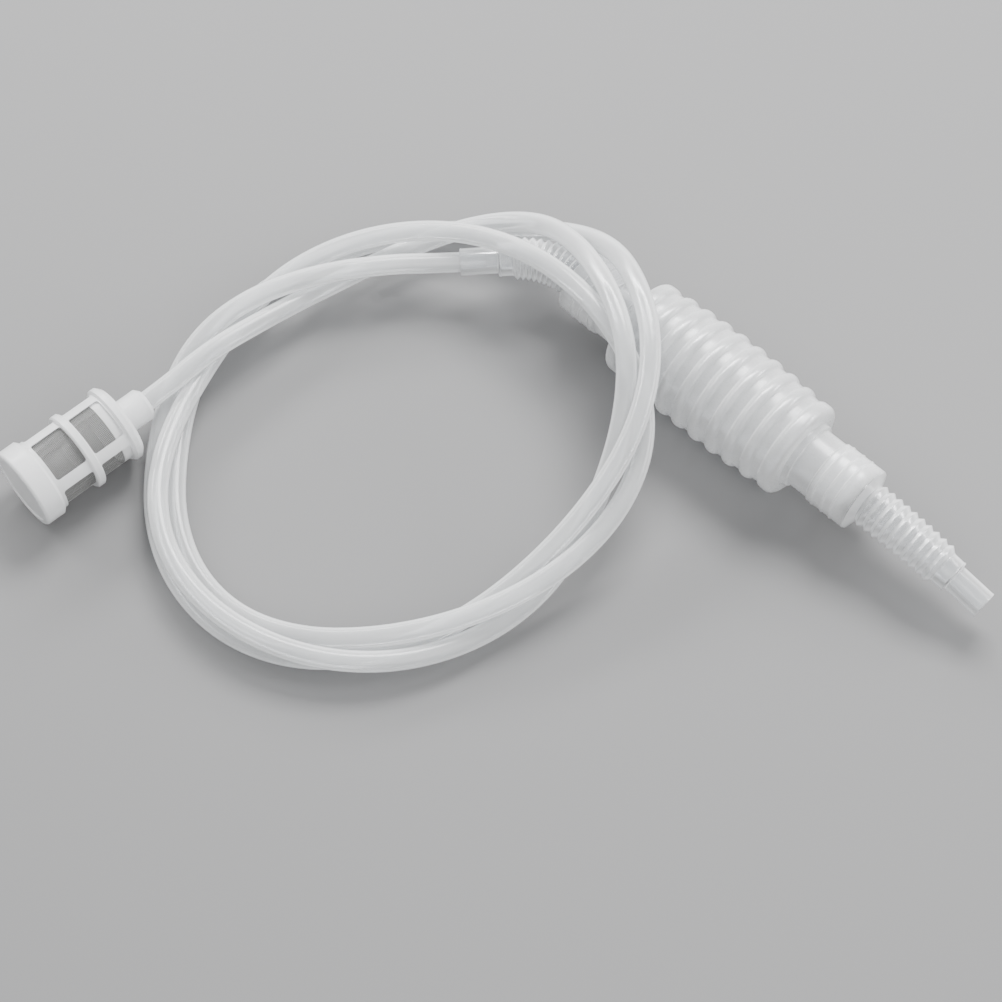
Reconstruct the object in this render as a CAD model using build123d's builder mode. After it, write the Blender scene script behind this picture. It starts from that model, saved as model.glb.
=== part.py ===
from build123d import *
import math
import os

# Hand siphon: a ribbed squeeze bulb with a one-way valve in each neck, a bendy
# connector on each neck, a coiled hose and a strainer on the hose's far end.
# Liquid runs from the strainer through the hose and the bulb to the outlet, along +X.
# Millimetres, +Z up. Everything lies on the plane z = 0, and the origin is the middle
# of the footprint of the bulb with its two connectors.

os.makedirs("parts", exist_ok=True)

# ---------------------------------------------------------------- driving sizes

# Bulb: blown from soft polyethylene, barrel shaped, with round ridges
ridge_count = 10
ridge_pitch = 10.35
ridge_width = 5.6
ridge_height = 1.65
middle_radius = 25.4  # between the ridges, at the bulb's middle
barrel_drop = 2.15  # how much less it is at the end ridges
bulb_wall = 1.4
shoulder_length = 5.4  # from the end ridge's crest to the flat end wall
shoulder_radius = 3.2

# Necks: a plain stretch next to the bulb, then a wider one around the valve body
step_radius = 17.0
step_length = 3.0
neck_radius = 15.35
neck_length = 11.0
socket_radius = 16.2
socket_length = 22.0
barb_places = (3.0, 8.8, 13.8)  # from the inner end of the valve body
barb_height = 0.6
barb_half_width = 1.0

# One-way valves
valve_bore = 12.2
seat_thickness = 1.6
seat_hole_radius = valve_bore - 6.7
disc_radius = valve_bore - 3.6
disc_thickness = 1.4
disc_lift = 2.0
guard_thickness = 1.5
guard_leg_radius = valve_bore - 2.8
guard_leg_wall = 1.8
guard_leg_angle = 26.0
guard_hole_radius = 2.1
guard_hole_circle = valve_bore - 4.6
guard_hole_count = 6

# Bendy connectors: a plug in the neck, a cone, ten sharp ridges, a cuff and a nozzle
plug_length = 5.0
plug_wall = 1.3
cone_length = 3.0
bellows_ridges = 10
bellows_root_first = 9.7
bellows_root_last = 8.9
bellows_depth = 1.75
bellows_wall = 0.8
outlet_pitch = 4.4
outlet_droop = 11.0  # degrees that its own weight bends it down
inlet_pitch = 3.4  # closed up by the bend
inlet_turn = 45.0  # degrees that the hose turns it sideways
inlet_sag = 6.0  # degrees that the plane of this bend leans
cuff_radius = 8.3
cuff_length = 7.5
cuff_wall = 1.0
nozzle_wall = 1.65
nozzle_length = 18.6

# Hose: 8 mm inside, 10 mm outside
hose_diameter = 10.0
nozzle_radius = hose_diameter / 2 + nozzle_wall
hose_in_nozzle = 13.0
hose_in_strainer = 12.0

# Strainer: a cage with a rolled mesh in it, a pull-off end cap and a hose socket
cage_radius = 18.3
cage_wall = 1.0
cage_length = 57.6
cage_rib_width = 6.6
cage_ring_radius = cage_radius + 1.6
cage_ring_width = 4.5
cage_ring_place = 32.3
cage_flange_radius = cage_radius + 1.4
cage_flange_width = 5.6
window_start = 13.2
window_end = 51.5
window_turn = 14.0  # degrees from straight up to the middle of a window
window_corner = 1.4
cap_radius = cage_radius + 2.0
cap_length = 11.5
cap_wall = 1.7
cap_round = 1.5
cap_recess = 0.7
mesh_thickness = 0.4
mesh_end = 47.0
plate_thickness = 1.5
skirt_length = 7.5
skirt_wall = 1.2
strainer_neck_radius = hose_diameter / 2 + 3.35
strainer_neck_length = 15.0
neck_chamfer = 2.0

# Fits
fit_gap = 0.05  # between pieces that are pushed together
slide_gap = 0.1  # between the cap and the cage
chamfer_small = 0.4

# ---------------------------------------------------------------- places

bulb_x = -8.525
bulb_y = 4.2
axis_height = middle_radius + ridge_height
bulb_middle = Vector(bulb_x, bulb_y, axis_height)
bulb_plane = Plane(origin=bulb_middle, x_dir=(1, 0, 0), z_dir=(0, -1, 0))
bulb_axis = Axis(bulb_middle, (1, 0, 0))

end_ridge_x = (ridge_count - 1) / 2 * ridge_pitch
end_wall_x = end_ridge_x + shoulder_length
socket_x = end_wall_x + step_length + neck_length
mouth_x = socket_x + socket_length
lead_in = 0.8  # slope from the neck to the wider socket
valve_inner_x = socket_x + lead_in

# The strainer lies on its cap and rings, outside the coil
strainer_height = cap_radius
strainer_heading = Vector(-0.1003, -0.99496, 0)  # from the hose towards the cap
strainer_mouth = Vector(bulb_x - 195.8, bulb_y - 189.4, strainer_height)
strainer_reach = cage_length + strainer_neck_length
strainer_face = strainer_mouth + strainer_heading * strainer_reach

# The coil: three loose turns around this point, rising over the bulb's inlet neck
coil_x = bulb_x - 98.425
coil_y = bulb_y - 116.4
coil_section = 0.96 * hose_diameter  # radius of the bundle of three strands
coil_split = 20  # it is swept in two parts, because a closed sweep doesn't make a solid


def save(part, name):
    """Label a finished piece and write it."""
    part.label = name
    export_step(part, f"parts/{name}.step")


# ---------------------------------------------------------------- the bulb


def foot_radius(x):
    """Outer radius between the ridges of the barrel at x from its middle."""
    return middle_radius - barrel_drop * (x / end_ridge_x) ** 2


def half_outline(depth):
    """Half of the bulb's outline, from its middle to its mouth, at a depth in the wall."""
    half_width = ridge_width / 2 - depth / 2
    here = (0, foot_radius(0) - depth)
    for ridge in range(ridge_count // 2 - 1):
        x = (ridge + 0.5) * ridge_pitch
        foot = foot_radius(x) - depth
        Line(here, (x - half_width, foot))
        ThreePointArc((x - half_width, foot), (x, foot + ridge_height), (x + half_width, foot))
        here = (x + half_width, foot)

    # The end ridge is half a ridge, a flat and a round shoulder
    foot = foot_radius(end_ridge_x) - depth
    crest = foot + ridge_height
    bow = (half_width**2 + ridge_height**2) / (2 * ridge_height)
    half_angle = math.asin(half_width / bow) / 2
    rise = (end_ridge_x - bow * math.sin(half_angle), crest - bow + bow * math.cos(half_angle))
    round_off = shoulder_radius - depth
    wall_x = end_wall_x - depth
    corner = (wall_x - round_off, crest - round_off)
    diagonal = round_off * math.sqrt(0.5)
    Line(here, (end_ridge_x - half_width, foot))
    ThreePointArc((end_ridge_x - half_width, foot), rise, (end_ridge_x, crest))
    Line((end_ridge_x, crest), (corner[0], crest))
    ThreePointArc(
        (corner[0], crest),
        (corner[0] + diagonal, corner[1] + diagonal),
        (wall_x, corner[1]),
    )

    # The neck, with a bump over each barb of the valve body
    neck = neck_radius - depth
    socket = socket_radius - depth
    if depth == 0:
        neck_start = [(wall_x, step_radius), (wall_x + step_length, step_radius)]
        neck_start.append((wall_x + step_length, neck))
    else:
        neck_start = [(wall_x, neck)]
    bumps = []
    for place in barb_places:
        x = valve_inner_x + place
        bumps.append((x - barb_half_width, socket))
        bumps.append((x, socket + barb_height))
        bumps.append((x + barb_half_width, socket))
    Polyline(
        (wall_x, corner[1]),
        *neck_start,
        (socket_x, neck),
        (valve_inner_x, socket),
        *bumps,
        (mouth_x, socket),
    )


with BuildPart() as bulb_shell:
    with BuildSketch(bulb_plane):
        with BuildLine():
            half_outline(0)
            half_outline(bulb_wall)
            Line((0, foot_radius(0)), (0, foot_radius(0) - bulb_wall))
            Line((mouth_x, socket_radius), (mouth_x, socket_radius - bulb_wall))
        make_face()
    revolve(axis=bulb_axis)
    mirror(about=Plane.YZ.offset(bulb_x))
save(bulb_shell.part, "bulb_shell")

# ---------------------------------------------------------------- the valves

valve_radius = socket_radius - bulb_wall - fit_gap
valve_middle_x = (valve_inner_x + mouth_x) / 2
seat_face_x = -seat_thickness / 2  # from the valve's middle, on the side that seals
guard_face_x = seat_face_x + disc_thickness + disc_lift


def cross_plane(x):
    """The plane across the bulb's axis at x from its middle, facing +X."""
    return Plane(origin=bulb_middle + Vector(x, 0, 0), x_dir=(0, 1, 0), z_dir=(1, 0, 0))


def valve_body(side):
    """Barbed tube with a holed seat plate; side is +1 at the outlet and -1 at the inlet."""
    inner_x = side * valve_inner_x
    outer_x = side * mouth_x
    seat_x = side * valve_middle_x + seat_face_x
    barbs = []
    for place in barb_places:
        x = side * (valve_inner_x + place)
        barbs.append((x - side * barb_half_width, valve_radius))
        barbs.append((x, valve_radius + barb_height))
        barbs.append((x + side * barb_half_width, valve_radius))
    with BuildPart() as body:
        with BuildSketch(bulb_plane):
            with BuildLine():
                Polyline(
                    (inner_x, valve_bore),
                    (inner_x, valve_radius),
                    *barbs,
                    (outer_x, valve_radius),
                    (outer_x, valve_bore),
                    close=True,
                )
            make_face()
        revolve(axis=bulb_axis)
        with BuildSketch(cross_plane(seat_x - seat_thickness)):
            Circle(valve_bore)
            Circle(seat_hole_radius, mode=Mode.SUBTRACT)
        extrude(amount=seat_thickness)
    return body.part


def valve_disc(side):
    """Soft disc with a raised middle that centres it over the seat's hole."""
    face_x = side * valve_middle_x + seat_face_x
    pip_radius = seat_hole_radius - 1.5
    with BuildPart() as disc:
        with BuildSketch(cross_plane(face_x)):
            Circle(disc_radius)
        extrude(amount=disc_thickness)
        with BuildSketch(cross_plane(face_x)):
            Circle(pip_radius)
        extrude(amount=-seat_thickness / 2)
    return disc.part


def valve_guard(side):
    """Holed plate that stops the disc, on four legs that stand on the seat."""
    plate_x = side * valve_middle_x + guard_face_x
    leg_length = disc_thickness + disc_lift
    with BuildPart() as guard:
        with BuildSketch(cross_plane(plate_x)):
            Circle(valve_bore - fit_gap)
            with PolarLocations(guard_hole_circle, guard_hole_count):
                Circle(guard_hole_radius, mode=Mode.SUBTRACT)
            Circle(guard_hole_radius, mode=Mode.SUBTRACT)
        extrude(amount=guard_thickness)
        with BuildSketch(cross_plane(plate_x)):
            with PolarLocations(0, 4):
                with BuildLine():
                    outer = CenterArc(
                        (0, 0),
                        guard_leg_radius + guard_leg_wall,
                        -guard_leg_angle / 2,
                        guard_leg_angle,
                    )
                    inner = CenterArc(
                        (0, 0), guard_leg_radius, -guard_leg_angle / 2, guard_leg_angle
                    )
                    Line(outer @ 0, inner @ 0)
                    Line(outer @ 1, inner @ 1)
                make_face()
        extrude(amount=-leg_length)
    return guard.part


for side, end in ((-1, "inlet"), (1, "outlet")):
    save(valve_body(side), f"{end}_valve_body")
    save(valve_disc(side), f"{end}_valve_disc")
    save(valve_guard(side), f"{end}_valve_guard")

# ---------------------------------------------------------------- the connectors


def bend_plane(start, heading, inward, turn, length, travelled):
    """The plane across a bent centreline after some travel; its normal points onward."""
    radius = length / math.radians(turn)
    angle = travelled / radius
    centre = start + inward * radius
    origin = centre - inward * (radius * math.cos(angle)) + heading * (radius * math.sin(angle))
    onward = heading * math.cos(angle) + inward * math.sin(angle)
    return Plane(origin=origin, x_dir=heading.cross(inward), z_dir=onward)


def bellows_stations(start, heading, inward, turn, pitch, first, last):
    """Planes and outer radii from the root before one ridge to the root after another."""
    length = pitch * bellows_ridges
    stations = []
    for step in range(2 * first, 2 * last + 1):
        share = step / (2 * bellows_ridges)
        root = bellows_root_first + (bellows_root_last - bellows_root_first) * share
        radius = root + bellows_depth if step % 2 else root
        plane = bend_plane(start, heading, inward, turn, length, length * share)
        stations.append((plane, radius))
    return stations


def folded_tube(stations):
    """Thin-walled bellows through the stations."""
    with BuildPart() as folds:
        for plane, radius in stations:
            with BuildSketch(plane):
                Circle(radius)
        loft(ruled=True)
        for plane, radius in stations:
            with BuildSketch(plane):
                Circle(radius - bellows_wall)
        loft(ruled=True, mode=Mode.SUBTRACT)
    return folds.part


def plug_and_cone(mouth):
    """The plug that goes in the valve body and the cone that closes the neck's mouth."""
    plug_radius = valve_bore - fit_gap
    cone_end = mouth.offset(cone_length)
    with BuildPart() as root:
        with BuildSketch(mouth):
            Circle(plug_radius)
        extrude(amount=-plug_length)
        with BuildSketch(mouth):
            Circle(socket_radius)
        with BuildSketch(cone_end):
            Circle(bellows_root_first)
        loft(ruled=True)
        with BuildSketch(mouth):
            Circle(plug_radius - plug_wall)
        extrude(amount=-plug_length, mode=Mode.SUBTRACT)
        with BuildSketch(mouth):
            Circle(plug_radius - plug_wall)
        with BuildSketch(cone_end):
            Circle(bellows_root_first - bellows_wall)
        loft(ruled=True, mode=Mode.SUBTRACT)
    return root.part


def nozzle(tip):
    """Cuff and hose nozzle, onward from the plane at the last root of a bellows."""
    shelf = cuff_length - cuff_wall
    with BuildPart() as piece:
        with BuildSketch(tip):
            Circle(cuff_radius)
        extrude(amount=cuff_length)
        with BuildSketch(tip.offset(cuff_length)):
            Circle(nozzle_radius)
        extrude(amount=nozzle_length)
        with BuildSketch(tip):
            Circle(cuff_radius - cuff_wall)
        extrude(amount=shelf, mode=Mode.SUBTRACT)
        with BuildSketch(tip.offset(shelf)):
            Circle(hose_diameter / 2)
        extrude(amount=cuff_wall + nozzle_length, mode=Mode.SUBTRACT)
        mouth_face = piece.faces().sort_by(Axis(tip.origin, tip.z_dir))[-1]
        chamfer(mouth_face.edges(), chamfer_small)
    return piece.part


lean = math.radians(inlet_sag)
sideways = Vector(0, -math.cos(lean), -math.sin(lean))
down = Vector(0, 0, -1)
onward_out = Vector(1, 0, 0)
onward_in = Vector(-1, 0, 0)

inlet_mouth = bulb_middle + onward_in * mouth_x
inlet_root = inlet_mouth + onward_in * cone_length
inlet_bend = (inlet_root, onward_in, sideways, inlet_turn, inlet_pitch)
inlet_length = inlet_pitch * bellows_ridges

outlet_mouth = bulb_middle + onward_out * mouth_x
outlet_root = outlet_mouth + onward_out * cone_length
outlet_bend = (outlet_root, onward_out, down, outlet_droop, outlet_pitch)
outlet_length = outlet_pitch * bellows_ridges
bellows_half = bellows_ridges // 2

inlet_cone = plug_and_cone(
    Plane(origin=inlet_mouth, x_dir=onward_in.cross(sideways), z_dir=onward_in)
)
inlet_folds = folded_tube(bellows_stations(*inlet_bend, 0, bellows_ridges))
with BuildPart() as inlet_bellows:
    add(inlet_cone)
    add(inlet_folds)
save(inlet_bellows.part, "inlet_bellows")

# The outlet's bellows is one moulding, written as two halves because it bends in use
outlet_cone = plug_and_cone(
    Plane(origin=outlet_mouth, x_dir=onward_out.cross(down), z_dir=onward_out)
)
rear_folds = folded_tube(bellows_stations(*outlet_bend, 0, bellows_half))
with BuildPart() as outlet_bellows_rear:
    add(outlet_cone)
    add(rear_folds)
save(outlet_bellows_rear.part, "outlet_bellows_rear")

front_folds = folded_tube(bellows_stations(*outlet_bend, bellows_half, bellows_ridges))
save(front_folds, "outlet_bellows_front")

inlet_tip = bend_plane(
    inlet_root, onward_in, sideways, inlet_turn, inlet_length, inlet_length
)
outlet_tip = bend_plane(
    outlet_root, onward_out, down, outlet_droop, outlet_length, outlet_length
)
save(nozzle(inlet_tip), "inlet_nozzle")
save(nozzle(outlet_tip), "outlet_nozzle")

# ---------------------------------------------------------------- the strainer

strainer_onward = strainer_heading * -1
strainer_across = Plane(origin=strainer_face, x_dir=(0, 0, 1), z_dir=strainer_onward)
strainer_side = Plane(
    origin=strainer_face, x_dir=strainer_onward, z_dir=strainer_onward.cross(Vector(0, 0, 1))
)
strainer_axis = Axis(strainer_face, strainer_onward)
cage_start = cap_wall + slide_gap
cage_bore = cage_radius - cage_wall
neck_hole = strainer_neck_radius + fit_gap

with BuildPart() as filter_cage:
    with BuildSketch(strainer_side):
        with BuildLine():
            Polyline(
                (cage_start, cage_bore),
                (cage_start, cage_radius),
                (cage_length - cage_flange_width, cage_radius),
                (cage_length - cage_flange_width + 1, cage_flange_radius),
                (cage_length - 2, cage_flange_radius),
                (cage_length, cage_flange_radius - 2),
                (cage_length, neck_hole),
                (cage_length - plate_thickness, neck_hole),
                (cage_length - plate_thickness, cage_bore),
                close=True,
            )
        make_face()
    revolve(axis=strainer_axis)
    with BuildSketch(strainer_across.offset(cage_ring_place - cage_ring_width / 2)):
        Circle(cage_ring_radius)
        Circle(cage_bore, mode=Mode.SUBTRACT)
    extrude(amount=cage_ring_width)
    ring_edges = filter_cage.edges().filter_by(GeomType.CIRCLE)
    chamfer([e for e in ring_edges if abs(e.radius - cage_ring_radius) < fit_gap], 0.8)
    # Two rows of four windows, each cut outwards from near the axis
    window_length = (window_end - window_start - cage_ring_width) / 2
    window_half_angle = math.radians(45) - math.asin(cage_rib_width / 2 / cage_radius)
    window_width = 2 * cage_radius * math.sin(window_half_angle)
    for row_start in (window_start, window_end - window_length):
        row_middle = row_start + window_length / 2
        for quarter in range(4):
            turn = math.radians(window_turn + 90 * quarter)
            outwards = strainer_side.y_dir * math.cos(turn) + strainer_side.z_dir * math.sin(turn)
            flat = Plane(
                origin=strainer_face + strainer_onward * row_middle,
                x_dir=strainer_onward,
                z_dir=outwards,
            )
            with BuildSketch(flat):
                RectangleRounded(window_length, window_width, window_corner)
            extrude(amount=cap_radius, mode=Mode.SUBTRACT)
save(filter_cage.part, "filter_cage")

mesh_radius = cage_bore - fit_gap
with BuildPart() as filter_mesh:
    with BuildSketch(strainer_across.offset(cage_start)):
        Circle(mesh_radius)
        Circle(mesh_radius - mesh_thickness, mode=Mode.SUBTRACT)
    extrude(amount=mesh_end - cage_start)
save(filter_mesh.part, "filter_mesh")

with BuildPart() as filter_end_cap:
    with BuildSketch(strainer_across):
        Circle(cap_radius)
    extrude(amount=cap_length)
    fillet(filter_end_cap.faces().sort_by(strainer_axis)[0].edges(), cap_round)
    chamfer(filter_end_cap.faces().sort_by(strainer_axis)[-1].edges(), cap_round)
    with BuildSketch(strainer_across.offset(cap_wall)):
        Circle(cage_radius + slide_gap)
    extrude(amount=cap_length, mode=Mode.SUBTRACT)
    with BuildSketch(strainer_across):
        Circle(cap_radius - 2 * cap_round)
    extrude(amount=cap_recess, mode=Mode.SUBTRACT)
save(filter_end_cap.part, "filter_end_cap")

plug_face = cage_length - plate_thickness - plate_thickness
with BuildPart() as filter_neck:
    with BuildSketch(strainer_across.offset(plug_face)):
        Circle(mesh_radius)
    extrude(amount=plate_thickness)
    with BuildSketch(strainer_across.offset(plug_face)):
        Circle(mesh_radius)
        Circle(mesh_radius - skirt_wall, mode=Mode.SUBTRACT)
    extrude(amount=-skirt_length)
    with BuildSketch(strainer_across.offset(plug_face)):
        Circle(strainer_neck_radius)
    extrude(amount=strainer_reach - plug_face)
    chamfer(filter_neck.faces().sort_by(strainer_axis)[-1].edges(), neck_chamfer)
    with BuildSketch(strainer_across.offset(plug_face)):
        Circle(hose_diameter / 2)
    extrude(amount=strainer_reach - plug_face, mode=Mode.SUBTRACT)
save(filter_neck.part, "filter_neck")

# ---------------------------------------------------------------- the hose


def around(angle, radius, height):
    """A point at an angle, in degrees from +X, round the coil's middle."""
    turn = math.radians(angle)
    return Vector(coil_x + radius * math.cos(turn), coil_y + radius * math.sin(turn), height)


def bend_radii(points, closed=False):
    """The largest tangent arc that the two runs at each corner leave room for."""
    radii = []
    count = len(points)
    corners = range(count) if closed else range(1, count - 1)
    for corner in corners:
        before = points[corner] - points[corner - 1]
        after = points[(corner + 1) % count] - points[corner]
        turn = math.radians(before.get_angle(after))
        shorter = min(before.length, after.length)
        radii.append(0.45 * shorter / math.tan(turn / 2))
    return radii


def hose_run(points, name):
    """A plain round bar along straight runs joined by tangent arcs."""
    radii = bend_radii(points)
    print(name, "radii", [round(r) for r in radii])
    with BuildPart() as run:
        with BuildLine() as route:
            FilletPolyline(*points, radius=radii)
        path = route.wires()[0]
        with BuildSketch(Plane(origin=path @ 0, z_dir=path % 0)):
            Circle(hose_diameter / 2)
        sweep()
    volume = math.pi * (hose_diameter / 2) ** 2 * path.length
    print(name, "length", round(path.length), "volume ratio", round(run.part.volume / volume, 4))
    return run.part


nozzle_reach = cuff_length + nozzle_length
inlet_nozzle_mouth = inlet_tip.origin + inlet_tip.z_dir * nozzle_reach

lead_route = [
    inlet_nozzle_mouth - inlet_tip.z_dir * hose_in_nozzle,
    inlet_nozzle_mouth + inlet_tip.z_dir * 6,
    around(136, 91.5, 27),
    around(150, 91, 27),
    around(161.5, 94, 25.5),
    around(173, 99.5, 21.5),
    around(184, 106.5, 14.5),
]
save(hose_run(lead_route, "hose_lead"), "hose_lead")

tail_route = [
    around(121, 116, 17),
    around(131, 107.5, 15),
    around(141, 97, 14),
    around(152, 90.5, 14),
    around(164, 88, 15.5),
    around(176, 87.5, 20.5),
    around(187, 91, 25.5),
    around(197, 98, 26.5),
    around(206.3, 106.6, 23.5),
    strainer_mouth - strainer_heading * 12,
    strainer_mouth + strainer_heading * hose_in_strainer,
]
save(hose_run(tail_route, "hose_tail"), "hose_tail")

# Angle, radius and height of the middle of the bundle of three strands
coil_route = [
    (119, 124, 20),
    (134, 118, 13),
    (153, 113, coil_section),
    (176, 109.5, coil_section),
    (200, 108, coil_section),
    (225, 110.5, coil_section),
    (250, 117, coil_section),
    (274, 121, coil_section),
    (297, 116, coil_section),
    (320, 106, coil_section),
    (344, 100, coil_section),
    (368, 101.5, 11),
    (387, 105, 21),
    (401, 110, 39),
    (412, 113.5, 54),
    (424, 116, 62),
    (436, 120, 61.5),
    (448, 125, 54),
    (459, 129, 43),
    (469, 128, 30.5),
]
coil_points = [around(*place) for place in coil_route]
coil_radii = bend_radii(coil_points, closed=True)
print("hose_coil radii", [round(r) for r in coil_radii])
with BuildPart() as hose_coil:
    with BuildLine() as ring:
        FilletPolyline(*coil_points, radius=coil_radii, close=True)
    loop = ring.wires()[0]
    pieces = loop.edges()
    halves = (Wire(pieces[:coil_split]), Wire(pieces[coil_split:]))
    for half in halves:
        with BuildSketch(Plane(origin=half @ 0, z_dir=half % 0)):
            Circle(coil_section)
        sweep(path=half)
coil_volume = math.pi * coil_section**2 * loop.length
coil_ratio = round(hose_coil.part.volume / coil_volume, 4)
print("hose_coil length", round(loop.length), "volume ratio", coil_ratio)
save(hose_coil.part, "hose_coil")
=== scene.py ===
import math

import bmesh
import bpy
from bpy.props import FloatProperty, IntProperty, PointerProperty
from mathutils import Matrix, Vector


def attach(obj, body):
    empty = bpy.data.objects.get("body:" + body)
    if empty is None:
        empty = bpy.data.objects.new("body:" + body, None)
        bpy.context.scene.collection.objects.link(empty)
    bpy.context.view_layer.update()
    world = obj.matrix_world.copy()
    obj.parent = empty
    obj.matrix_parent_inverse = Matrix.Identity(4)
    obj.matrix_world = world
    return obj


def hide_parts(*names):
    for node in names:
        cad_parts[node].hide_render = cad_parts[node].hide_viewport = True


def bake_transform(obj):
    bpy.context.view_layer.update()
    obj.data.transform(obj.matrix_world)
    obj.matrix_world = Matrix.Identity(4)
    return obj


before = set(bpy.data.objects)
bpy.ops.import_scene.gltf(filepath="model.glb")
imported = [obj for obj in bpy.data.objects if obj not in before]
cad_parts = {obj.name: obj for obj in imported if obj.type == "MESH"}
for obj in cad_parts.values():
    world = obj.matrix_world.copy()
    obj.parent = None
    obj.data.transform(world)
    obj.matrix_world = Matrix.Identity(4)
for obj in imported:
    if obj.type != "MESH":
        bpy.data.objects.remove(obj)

bl_info = {
    "name": "Siphon bulb pump",
    "version": (1, 0, 0),
    "blender": (4, 5, 0),
    "location": "View3D > Sidebar > Siphon",
    "description": "Builds the looks of a hand siphon pump around its packed frame",
    "category": "Object",
}

MM = 0.001
WORLD_UP = Vector((0, 0, 1))

# ------------------------------------------- the pump's sizes, in millimetres and degrees

BULB_MIDDLE = Vector((-8.525, 4.2, 27.05))
RIDGE_PITCH = 10.35
RIDGE_WIDTH = 5.9
RIDGE_HEIGHT = 1.65
MIDDLE_RADIUS = 25.4
BARREL_DROP = 2.15
BULB_WALL = 1.4
END_RIDGE = 46.575
END_WALL = 51.975
NECK_END = 65.975
MOUTH = 87.975
NECK_RADIUS = 15.35
SOCKET_RADIUS = 16.2
VALVE_RADIUS = 14.75
VALVE_BORE = 12.2
VALVE_INNER = 66.775
VALVE_MIDDLE = 77.375
VALVE_STEPS = 96
BARBS = (3.0, 8.8, 13.8)

# The flow runs towards +X in both valves, so both plates lie on the inlet side of the disc.
PLATE_BACK = -2.4
PLATE_FRONT = -0.8
PLATE_HOLE = 5.5
DISC_RADIUS = 8.6
DISC_THICKNESS = 1.4
DISC_PLUG_RADIUS = 4.0
DISC_PLUG_DEPTH = 0.8
DISC_STEPS = 64

RIDGE_STEP = 0.46
RIDGE_FULLNESS = 0.62
RIDGE_INNER_LOSS = 0.45
SHOULDER_RADIUS = 3.6
SHOULDER_TURN = 86
NECK_STEP_RADIUS = 17.4
SOCKET_RING_HEIGHT = 0.45
SOCKET_RING_REACH = 0.8

CREST_FIRST = 11.45
CREST_LAST = 10.55
BELLOWS_DEPTH = 1.75
BELLOWS_WALL = 0.8
BELLOWS_RIDGES = 10
INLET_FOLDS = 34.0
OUTLET_FOLDS = 44.0
CUFF_RADIUS = 8.3
CUFF_LENGTH = 7.5
NOZZLE_RADIUS = 6.65
NOZZLE_LENGTH = 18.6
INLET_TURN = 45
INLET_LEAN = 6
OUTLET_TURN = 11
CONNECTOR_ROOT = 3
PLUG_LENGTH = 8.0
PLUG_WALL = 1.3
HOSE_RADIUS = 5.0
HOSE_IN_NOZZLE = 13
HOSE_PAST_NOZZLE = 6
HOSE_IN_NECK = 12
HOSE_BEFORE_NECK = 10

COIL_MIDDLE = BULB_MIDDLE + Vector((-98.425, -116.4, -27.05))
STRAINER_MOUTH = BULB_MIDDLE + Vector((-195.8, -189.4, 20.3 - 27.05))
STRAINER_HEADING = Vector((-0.1003, -0.99496, 0)).normalized()
STRAINER_REACH = 72.6
MESH_START = 1.9
MESH_COLUMNS = 124
MESH_COLUMN_TURN = 3
MESH_ROWS = 47
MESH_ZIGZAG = 0.05  # radians
MESH_RADIUS = 16.65
MESH_OVERLAP_RISE = 0.4
MESH_OVERLAP_TURN = 40
SEAM_ANGLE = -6.0
WELD_RADII = (16.85, 17.2)
WELD_TURNS = (0, 1.7)
WELD_LENGTH = 1.3
WELD_PITCH = 2.1
WELD_ROW = 46
STRAINER_FACE = STRAINER_MOUTH + STRAINER_HEADING * STRAINER_REACH

# ---------------------------------------------------------------- the looks and the stage

# Each plastic: how opaque it is face-on and edge-on, its mirror's roughness, its clouds
# (scale, strength, bump), how much light its wall lets through, and between which edge-on
# values it turns from the first opacity to the second.
PLASTICS = {
    "bulb": dict(
        name="Soft polyethylene",
        colour=(0.90, 0.905, 0.91),
        edge=0.97,
        roughness=0.27,
        cloud=(55, 0.12, 0.10),
        turn=(0.1, 0.75),
    ),
    "valve": dict(
        name="White polyethylene",
        colour=(0.98, 0.98, 0.98),
        opacity=0.98,
        edge=1.0,
        roughness=0.38,
        cloud=(80, 0.05, 0.08),
        glow=0.1,
    ),
    "disc": dict(
        name="Silicone rubber",
        colour=(0.8, 0.8, 0.79),
        opacity=0.8,
        edge=0.95,
        roughness=0.45,
        cloud=(120, 0.08, 0.05),
    ),
    "connector": dict(
        name="Clear soft vinyl",
        colour=(0.94, 0.944, 0.949),
        opacity=0.2,
        edge=0.97,
        roughness=0.2,
        cloud=(90, 0.09, 0.08),
        glow=0.48,
        turn=(0.12, 0.6),
    ),
    "hose": dict(
        name="Clear vinyl hose",
        colour=(0.89, 0.9, 0.905),
        opacity=0.46,
        edge=0.98,
        roughness=0.2,
        cloud=(35, 0.12, 0.05),
        turn=(0.22, 0.5),
    ),
    "strainer": dict(
        name="Moulded polyethylene",
        colour=(0.93, 0.935, 0.94),
        opacity=0.82,
        edge=0.99,
        roughness=0.34,
        cloud=(90, 0.08, 0.10),
        glow=0.45,
    ),
    "weld": dict(
        name="Melted nylon",
        colour=(0.16, 0.16, 0.155),
        opacity=0.9,
        edge=1.0,
        roughness=0.3,
        cloud=(300, 0.3, 0.3),
        glow=0.2,
    ),
}
MESH_NAME = "Woven nylon"
PLASTIC_IOR = 1.5

FLOOR_HALF_SIDE = 20.0
FLOOR_HEIGHT = -0.0004
FLOOR_COLOUR = (0.14, 0.14, 0.141, 1)
FLOOR_ROUGHNESS = 0.7
WORLD_COLOUR = (0.98, 0.99, 1, 1)
WORLD_STRENGTH = 1.1
LIGHT_TARGET = (-0.03, -0.08, 0.0)
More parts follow.
